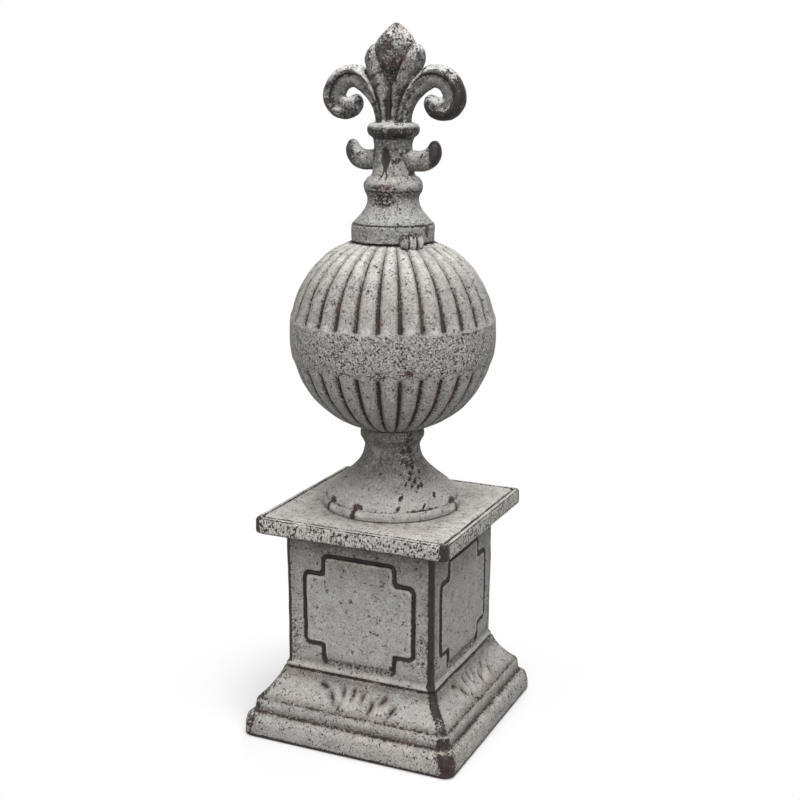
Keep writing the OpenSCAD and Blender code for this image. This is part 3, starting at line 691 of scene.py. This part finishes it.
def crestTurning(s):
    # collar, neck ring, waist and knot; the throat's radius is the neck's plus a share (1 - u)^1.55
    u = np.linspace(0, 1, 14)[1:]
    throat = np.c_[s["neckHalf"] + (s["collarHalf"] - 1.4 - s["neckHalf"]) * (1 - u) ** 1.55, 18.2 + 20.8 * u]
    collar = roundedLine([(20, 0, 0), (39.0, 0, 0), (s["collarHalf"], 0.8, 0.6), (s["collarHalf"], 15.6, 1.2),
                          (39.6, 17.4, 1.0), (39.0, 18.1, 0.4)], 1.5)
    waist = roundedLine([(s["neckHalf"], 39.6, 0), (25.0, 43.6, 2), (28.0, 48.2, 1.0), (28.2, 49.6, 0.5),
                         (s["ringHalf"], 52.6, 2.5), (28.4, 56.4, 3), (25.0, 61.4, 3), (20.8, 63.2, 2.5),
                         (20.2, 68, 2), (19.0, 80, 8), (18.4, 92, 5), (19.6, 98.0, 2)], 1.4)
    angle = np.linspace(-1.35, 1.35, 14)
    thick = s["knotThick"]
    knot = np.c_[s["knotHalf"] - thick * (1 - np.cos(angle)), s["knotZ"] + thick * np.sin(angle)]
    return turnedSolid(np.vstack([collar, throat, waist[1:], knot, [[17.2, 112.6], [12.0, 114.5]]]), 150)


def coilRadius(degrees, s):  # a circle that opens by 9(excess / 85)^1.5 past 30 degrees
    return s["coil"] + 9 * (np.clip(degrees - 30, 0, None) / 85) ** 1.5


def makeScroll(s):
    # a cubic lead-in out of the knot, over the top and down round its own eye; the section has a
    # rounded bead along the outer edge and a shallow hollow beside it, both gone before the eye
    top, end = 125, -188
    degrees = np.linspace(top, end, 84)
    angle = np.radians(degrees)
    centre = np.array([s["scrollReach"] - s["eyeInset"], s["eyeRise"]])
    spiral = centre + coilRadius(degrees, s)[:, None] * np.c_[np.cos(angle), np.sin(angle)]
    heading = np.array([math.sin(math.radians(top)), -math.cos(math.radians(top))])
    p = [np.array([11.8, 108.0]), np.array([9.5, 131.0]), spiral[0] - 17 * heading, spiral[0]]
    t = np.linspace(0, 1, 30)[:-1, None]
    lead = (1 - t) ** 3 * p[0] + 3 * t * (1 - t) ** 2 * p[1] + 3 * t ** 2 * (1 - t) * p[2] + t ** 3 * p[3]
    wide = np.interp(degrees, [end, -184, -176, -160, -125, -60, 60, top],
                     [1.0, 3.2, 5.6, 8.2, 10.4, 11.2, 11.2, 10.6])
    deep = np.interp(degrees, [end, -182, -170, -150, -110, -60, 60, top],
                     [1.5, 4.5, 7.4, 9.6, 10.4, 9.6, 10.0, 10.5])
    wide = np.r_[5.4 + 5.2 * t[:, 0] ** 1.6, wide]
    deep = np.r_[13.0 - 2.5 * t[:, 0], deep]
    around = np.linspace(0, 2 * np.pi, 41)[:-1]
    across = np.cos(around)
    rim = ramp(-125, -35, np.r_[np.full(len(t), float(top)), degrees])[:, None]
    level = 0.96 - 0.24 * rim + rim * (0.42 * ridge(across, -0.55, 0.38) - 0.16 * ridge(across, 0.12, 0.22))
    section = np.stack([np.broadcast_to(across, level.shape), swell(around, 0.75) * level], -1)
    return sweptSolid(np.vstack([lead, spiral]), wide, deep, section)


def makeHook(s):
    # runs out level from the waist and turns up through an arc of 118 degrees
    bend, runLength = s["hookBend"], 15
    degrees = np.linspace(0, 118, 34)
    turn = np.radians(degrees)
    centreX = s["hookReach"] - bend - 8.2
    arc = np.c_[centreX + bend * np.sin(turn), s["hookZ"] + bend * (1 - np.cos(turn))]
    back = np.linspace(1, 0, runLength) ** 2  # it thickens and rises towards the waist
    run = np.c_[np.linspace(0, centreX, runLength + 1)[:-1], s["hookZ"] + 3.0 * back]
    wide = np.r_[9.9 + 3.4 * back,
                 np.interp(degrees, [0, 40, 70, 95, 108, 115, 118], [9.9, 9.8, 8.4, 6.2, 4.6, 2.8, 1.0])]
    deep = np.r_[np.full(runLength, 11.0),
                 np.interp(degrees, [0, 60, 95, 108, 115, 118], [11, 9.4, 7.2, 5.2, 3.0, 1.0])]
    around = np.linspace(0, 2 * np.pi, 41)[:-1]
    across = np.cos(around)
    section = np.c_[across, np.sin(around) * (0.9 + 0.1 * ridge(across, -0.5, 0.4))]
    return sweptSolid(np.vstack([run, arc]), wide, deep, section)


def makePetal():
    # rises beside the heart from the knot and rolls outward round the bud; stations are
    # (x, height, half width, half depth)
    stations = np.array([[4.2, 108, 3.9, 14.6], [4.5, 120, 4.1, 14.4], [5.9, 132, 5.0, 14.0],
                         [9.2, 144, 6.8, 13.8], [13.8, 155, 8.6, 13.8], [18.0, 164, 9.7, 13.4],
                         [20.6, 172, 9.8, 12.2], [20.9, 178, 8.2, 9.6], [20.0, 183, 4.8, 6.0],
                         [19.6, 185.5, 1.4, 1.8]])
    fine = np.linspace(0, len(stations) - 1, 64)
    line = np.stack([np.interp(fine, np.arange(len(stations)), column) for column in stations.T], 1)
    line[1:-1] = 0.25 * line[:-2] + 0.5 * line[1:-1] + 0.25 * line[2:]
    around = np.linspace(0, 2 * np.pi, 33)[:-1]
    return sweptSolid(line[:, :2], line[:, 2], line[:, 3], np.c_[np.cos(around), swell(around, 0.85)])


def makeKnuckles(s):
    # each is an oval turned about its own upright axis, radius half cos t at height tall sin t + 2.4
    ball = np.linspace(-np.pi / 2 + 0.05, np.pi / 2 - 0.05, 12)
    for at, tall in s["knuckles"]:
        points, faces = turnedSolid(np.c_[s["knuckleHalf"] * np.cos(ball), tall * np.sin(ball) + 2.4], 20)
        plan = math.radians(at)
        yield points + s["knuckleAt"] * np.array([math.cos(plan), math.sin(plan), 0]), faces


def smoothedField(field, pairs, counts, passes):
    # each pass moves every value to the average of its neighbours along the edges
    for _ in range(passes):
        total = np.zeros_like(field)
        np.add.at(total, pairs[:, 0], field[pairs[:, 1]])
        np.add.at(total, pairs[:, 1], field[pairs[:, 0]])
        field = total / (counts[:, None] if field.ndim > 1 else counts)
    return field


def moveTo(data, p):  # puts the points, in mm, in the mesh and gives back its new normals
    data.vertices.foreach_set("co", (p * mm).astype(np.float32).ravel())
    data.update()
    normals = np.empty(p.size)
    data.vertices.foreach_get("normal", normals)
    return normals.reshape(-1, 3)


def makeCrest():
    # overlapping closed solids, fused into one skin on a grid of s["fuse"] mm and then carved
    s = crestSizes
    heart = stackedSolid([(108, 15.5, 12.5), (120, 14.5, 12), (134, 14, 11), (148, 17.5, 10), (160, 23, 9.5),
                          (170, 25, 9), (178, 22, 8), (184, 15, 5)], 40, 96)
    bud = stackedSolid([(150, 2, 13), (156, 4.5, 15), (162, 8, 16.4), (168, 12.5, 17), (174, 17.5, 17.2),
                        (179, 20.6, 16.8), (184, 21.4, 15.6), (189, 18.6, 13.8), (194, 14.4, 11.2),
                        (198, 10.4, 8.4), (201.5, 6.4, 5.6), (204, 3, 2.8), (204.9, 0.8, 0.8)], 56, 72, 1.18)
    solids = [crestTurning(s), heart, bud]
    for half in (makePetal(), makeScroll(s), makeHook(s)):
        solids += [half, mirroredX(half)]
    solids += makeKnuckles(s)
    starts = np.cumsum([0] + [len(points) for points, _ in solids[:-1]])
    points = np.vstack([points for points, _ in solids])
    faces = np.vstack([faces + start for (_, faces), start in zip(solids, starts)])
    # the bud leans a little, as it came from the mould
    points[:, 0] += s["lean"] * ramp(140, 205, points[:, 2]) * (np.abs(points[:, 0]) < 34)
    points[:, 2] += seatZ
    piece = meshFrom("fleurCrest", points, faces)
    fuse = piece.modifiers.new("fuse", "REMESH")
    fuse.mode = "VOXEL"
    fuse.voxel_size = s["fuse"] * mm
    fused = bpy.data.meshes.new_from_object(piece.evaluated_get(bpy.context.evaluated_depsgraph_get()))
    piece.modifiers.clear()
    parts, piece.data = piece.data, fused
    bpy.data.meshes.remove(parts)
    shapeCrest(piece.data, s)
    print("crest faces", len(piece.data.polygons))
    return piece


def shapeCrest(data, s):
    # carves the fused skin along its normals, then marks its wear and dirt, its painted highlight and its
    # painted shade
    count = len(data.vertices)
    p, pairs = np.empty(count * 3), np.empty(len(data.edges) * 2, int)
    data.vertices.foreach_get("co", p)
    data.edges.foreach_get("vertices", pairs)
    p, pairs = p.reshape(-1, 3) / mm, pairs.reshape(-1, 2)
    counts = np.bincount(pairs.ravel(), minlength=count).astype(float)
    p = 0.5 * p + 0.5 * smoothedField(p, pairs, counts, 1)
    n = moveTo(data, p)

    # grooves: between the petals, the almond hollow with two short tails, a channel along each
    # scroll inside its bead, and a seam between each petal and the scroll beside it
    x, z = p[:, 0], p[:, 2] - seatZ
    facing = ramp(0.15, 0.6, np.abs(n[:, 1]))
    mid = ridge(x + 0.5 * lumps(p, 9, 2.7), 0, 2.2) * ramp(113, 118, z) * ramp(158, 146, z)
    almond = squareBell(x / 4.8, (z - 79.5) / 10.5)
    tails = ridge(np.abs(x), np.clip((71 - z) * 0.32, 0, 6), 0.9) * ramp(58, 62, z) * ramp(73, 69, z)
    eyeX, eyeZ = np.abs(x) - (s["scrollReach"] - s["eyeInset"]), z - s["eyeRise"]
    fromEye, turn = np.hypot(eyeX, eyeZ), np.degrees(np.arctan2(eyeZ, eyeX))
    fromMiddle = fromEye - coilRadius(turn, s)
    swirl = (np.abs(x) > 20) * ramp(-80, -30, turn) * ramp(172, 150, turn)
    seamAt = np.interp(z, [108, 120, 132, 144, 155], [8.4, 9.0, 11.2, 16.2, 22.5])
    seam = ridge(np.abs(x), seamAt, 1.3) * ramp(111, 116, z) * ramp(153, 140, z)
    channel = ridge(fromMiddle, 0.6, 2.0) * swirl
    carve = facing * (3.0 * mid + 3.6 * almond + 0.9 * tails + 1.7 * channel + 1.2 * seam)
    grooves = facing * (1.2 * mid + 1.1 * almond + 0.9 * tails + 0.8 * seam
                        + ridge(fromMiddle, 0.9, 1.15) * swirl)
    onScroll = (np.abs(x) > 36) * (z > 105)
    outer = ramp(-1, 5, fromMiddle) * onScroll
    band = ramp(-0.5, -2.5, fromMiddle) * swirl  # smooth, and given painted shade, inside the scroll's bead
    p = p - n * carve[:, None]
    # broad relief of wear on the modelling, calm at the seat
    p = p + n * (ramp(0.5, 4, z) * (0.35 * lumps(p, 15, 4.4) + 0.25 * lumps(p, 5.5, 9.1)))[:, None]
    isSeat = (z < 1.2) & (np.hypot(p[:, 0], p[:, 1]) < 41.0)
    p[isSeat, 2] = np.maximum(p[isSeat, 2], seatZ)
    n = moveTo(data, p)

    # bulge is above 0 on ridges and below 0 in hollows; broad is the same over a wider reach
    away = smoothedField(p, pairs, counts, 5)
    bulge = smoothedField(((p - away) * n).sum(1), pairs, counts, 2)
    broad = ((p - smoothedField(away, pairs, counts, 22)) * n).sum(1)
    hollow = np.maximum(ramp(-0.04, -0.26, bulge), 0.85 * ramp(-0.30, -1.3, broad))
    hollow = hollow * (1 - 0.8 * ridge(fromMiddle, 0.6, 3.6) * swirl)
    high = ramp(0.08, 0.32, bulge)

    # rubbed scroll ends, the right one most, and rubbed bud, hook tips and knot
    x, y, z = p[:, 0], p[:, 1], p[:, 2] - seatZ
    wide, radius = np.abs(x), np.hypot(x, y)
    isRight = x > 0
    scrollRub = np.maximum(outer * np.where(isRight, ramp(75, 25, turn), 0.62 * ramp(0, -50, turn)),
                           0.8 * isRight * ramp(-95, -125, turn) * ramp(6, 12, fromEye) * onScroll)
    budRub = np.maximum.reduce([0.72 * ridge(np.hypot(x + 2, 0.8 * (z - 181)), 0, 15),
                                0.95 * ridge(np.hypot(x, z - 163), 0, 11), 0.5 * (z > 172) * (wide < 24)])
    hookRub = 1.15 * ramp(34, 46, wide + 5 * lumps(p, 7, 2.4)) * (z < 104) * (z > 60)
    knotRub = ramp(110.5, 107, z) * ramp(97.5, 99.5, z) * (wide < 28) * (0.80 + 0.4 * lumps(p, 4.5, 5.2))
    rub = np.maximum.reduce([scrollRub, budRub, hookRub, knotRub])
    rough = lumps(p, 9, 7.7) + 0.6 * lumps(p, 4, 3.1)
    flaking = ramp(0.15, 0.70, lumps(p, 8, 3.7) + 0.8 * lumps(p, 3.2, 8.8)) * ramp(60, 76, z)
    flake = ramp(-0.05, 0.45, lumps(p, 17, 6.2) + 0.6 * lumps(p, 6, 2.9))
    lines = np.maximum.reduce([0.9 * ridge(z, 17.6, 1.1), 0.7 * ridge(z, 0.6, 1.0) * (radius < 41.2),
                               0.75 * ridge(z, 48.9, 1.2), 0.7 * ridge(z, 98.2, 1.5)]) * (wide < 42)
    # single marks at the front: a bruise on the neck, a scuff on the ring above it, a rust run down
    # the collar's rim, and painted shade in the gaps between the knuckles
    bruise = squareBell((x - 0.5) / 14, (z - 41.5) / 8.5) * (n[:, 1] < 0)
    scuff = squareBell((x - 1) / 14, (z - 53) / 3.4) * (n[:, 1] < 0)
    run = squareBell(np.hypot(x - 39.4, y + 8.9) / 3.4, (z - 13) / 7.5)
    plan = np.degrees(np.arctan2(y, x))
    gaps = (ridge(plan, -47, 1.7) + ridge(plan, -37.2, 1.7)) * (z < 12.5) * (radius > 41)
    knuckle = (z < 14) * (radius > 41.6)
    worn = np.maximum.reduce([hollow * (0.56 + 0.25 * lumps(p, 7, 5.3)), 0.58 * high * (0.3 + 0.7 * flake),
                              grooves, lines, rub * (0.82 + 0.36 * rough) * (n[:, 2] < 0.9), 0.60 * flaking,
                              bruise * (0.50 + 0.55 * lumps(p, 2.6, 1.1) + 0.3 * lumps(p, 6.0, 3.4)),
                              scuff * (0.56 + 0.5 * lumps(p, 4, 8.3)), 0.75 * run, 0.9 * gaps])
    # painted highlight: lighter on up-facing faces, more so higher up, on ridges and on the knuckles' fronts;
    # less on the rubbed right scroll and the knot
    pale = np.maximum(ramp(0.15, 0.75, n[:, 2]) * (0.14 + 0.86 * ramp(60, 135, z)), 0.7 * high * (1 - flake))
    pale = pale * (1 - 0.7 * isRight * ramp(60, 20, turn) * outer) * (1 - 0.8 * knotRub)
    pale = np.maximum(pale, 0.5 * knuckle * (1 - hollow))
    stain = ramp(0.0, 0.4, lumps(p, 13, 5.9))
    stain = stain * (0.9 * ramp(160, 176, z) + 0.35 * ridge(z, 110, 3) + 0.4 * scrollRub)
    stain = stain + 0.1 * bruise + 0.55 * scuff + run
    # painted shade on faces turned down or sideways up the stem, on undersides, in hollows, inside the
    # scroll's bead, at the neck's waist and between the knuckles; darker on the collar; dirt on the rubs, the
    # bruise and in the grooves
    dirtAndShade = np.maximum.reduce([0.85 * ramp(60, 92, z) * ramp(0.6, 0.0, n[:, 2]), 0.20 * (z < 20),
                               0.85 * ramp(0.1, -0.5, n[:, 2]), 0.8 * ridge(z, 46, 6) * (wide < 30), hollow,
                               0.55 * band, 0.6 * knotRub, 0.9 * bruise, grooves, 0.5 * knuckle * hollow])
    worn = worn * (1 - 0.7 * band)
    pits = (0.52 + 0.25 * rub + 0.48 * bruise) * (1 - 0.5 * band)
    for key, values in dict(worn=worn, pits=pits, pale=pale, stain=stain, dirtAndShade=dirtAndShade).items():
        setMark(data, key, values)
    data.polygons.foreach_set("use_smooth", np.ones(len(data.polygons), bool))


dress(makeCrest(), "distressedPaintCrest", crestPaint, "crest")


stageSizes = dict(floor=14.0, bounce="8A8987", sheet="D4D4D4", floorGlow=0.25, nearAt=0.17, farAt=0.37,
                  skyLevel=0.24, sensor=36.0)
# each light's place, height of aim and size in metres, then its power; the places turn with the camera
lightSizes = dict(
    overhead=((0.22, -0.60, 2.15), 0.35, 1.25, 28.0), front=((0.55, -2.1, 1.15), 0.33, 1.5, 34.0),
    left=((-2.1, -0.5, 1.0), 0.35, 1.4, 15.0), behind=((0.7, 2.1, 1.3), 0.33, 1.5, 22.0))
cameraSizes = dict(azimuth=24.17, distance=1312.2, aside=7.5, height=648.8, tilt=13.4, roll=0.282, lens=60.77)


def whiteFloor():
    # matte white sweep: what the camera sees of it is lifted to clean white, its shadow stays
    material = bpy.data.materials.new("mattWhiteSweep")
    material.use_nodes = True
    material.node_tree.nodes.clear()
    add = partial(addNode, material.node_tree)
    path = add("LightPath")
    seen = add("Math", [path["Is Camera Ray"], path["Is Glossy Ray"]], operation="MAXIMUM")[0]
    place = add("VectorMath", [add("TexCoord")["Object"], (-0.05, 0.10, 0.0)], operation="ADD")[0]
    away = add("VectorMath", [place], operation="LENGTH")["Value"]
    far = add("MapRange", [away, stageSizes["nearAt"], stageSizes["farAt"]],
              interpolation_type="SMOOTHSTEP")[0]
    dull = add("BsdfDiffuse", [hexColour(stageSizes["bounce"])])[0]
    matt = add("BsdfDiffuse", [hexColour(stageSizes["sheet"])])[0]
    glow = add("Emission", dict(Strength=stageSizes["floorGlow"]))[0]
    near = add("AddShader", [matt, glow])[0]
    white = add("Emission", dict(Strength=1.0))[0]
    sweep = add("MixShader", [far, near, white])[0]
    add("OutputMaterial", [add("MixShader", [seen, dull, sweep])[0]])
    return material


def makeFloor():
    half = stageSizes["floor"] / 2 / mm
    corners = np.array([[-half, -half, 0], [half, -half, 0], [half, half, 0], [-half, half, 0]])
    floor = meshFrom("floor", corners, np.array([[0, 1, 2, 3]]))
    floor.data.materials.append(whiteFloor())


def makeWorld():
    # soft sky on the finial, clean white where the camera and gloss look past it
    world = bpy.data.worlds.new("studio")
    world.use_nodes = True
    world.node_tree.nodes.clear()
    add = partial(addNode, world.node_tree)
    path = add("LightPath")
    seen = add("Math", [path["Is Camera Ray"], path["Is Glossy Ray"]], operation="MAXIMUM")[0]
    sky, white = (add("Background", dict(Color=(1, 1, 1, 1), Strength=level))[0]
                  for level in (stageSizes["skyLevel"], 1.0))
    add("OutputWorld", [add("MixShader", [seen, sky, white])[0]])
    bpy.context.scene.world = world


def makeLights():
    towards = Matrix.Rotation(math.radians(cameraSizes["azimuth"]), 3, "Z")
    for name, (place, aimZ, size, power) in lightSizes.items():
        data = bpy.data.lights.new(name, "AREA")
        data.shape, data.size, data.energy = "DISK", size, power
        lamp = bpy.data.objects.new(name, data)
        lamp.location = towards @ Vector(place)
        lamp.rotation_euler = (Vector((0, 0, aimZ)) - lamp.location).to_track_quat("-Z", "Y").to_euler()
        bpy.context.scene.collection.objects.link(lamp)


def makeCamera():
    # a little above the globe, in front of the corner between the broad and the narrow side
    c = cameraSizes
    data = bpy.data.cameras.new("camera")
    data.sensor_width, data.lens = stageSizes["sensor"], c["lens"]
    data.clip_start, data.clip_end = 0.05, 50.0
    camera = bpy.data.objects.new("camera", data)
    turn = Matrix.Rotation(math.radians(c["azimuth"]), 4, "Z")
    camera.matrix_world = (turn @ Matrix.Translation(Vector((c["aside"], -c["distance"], c["height"])) * mm)
                           @ Matrix.Rotation(math.radians(90 - c["tilt"]), 4, "X")
                           @ Matrix.Rotation(math.radians(c["roll"]), 4, "Z"))
    bpy.context.scene.collection.objects.link(camera)
    bpy.context.scene.camera = camera


makeFloor()
makeWorld()
makeLights()
makeCamera()
bpy.context.scene.view_settings.view_transform = "Standard"
print("stage set")
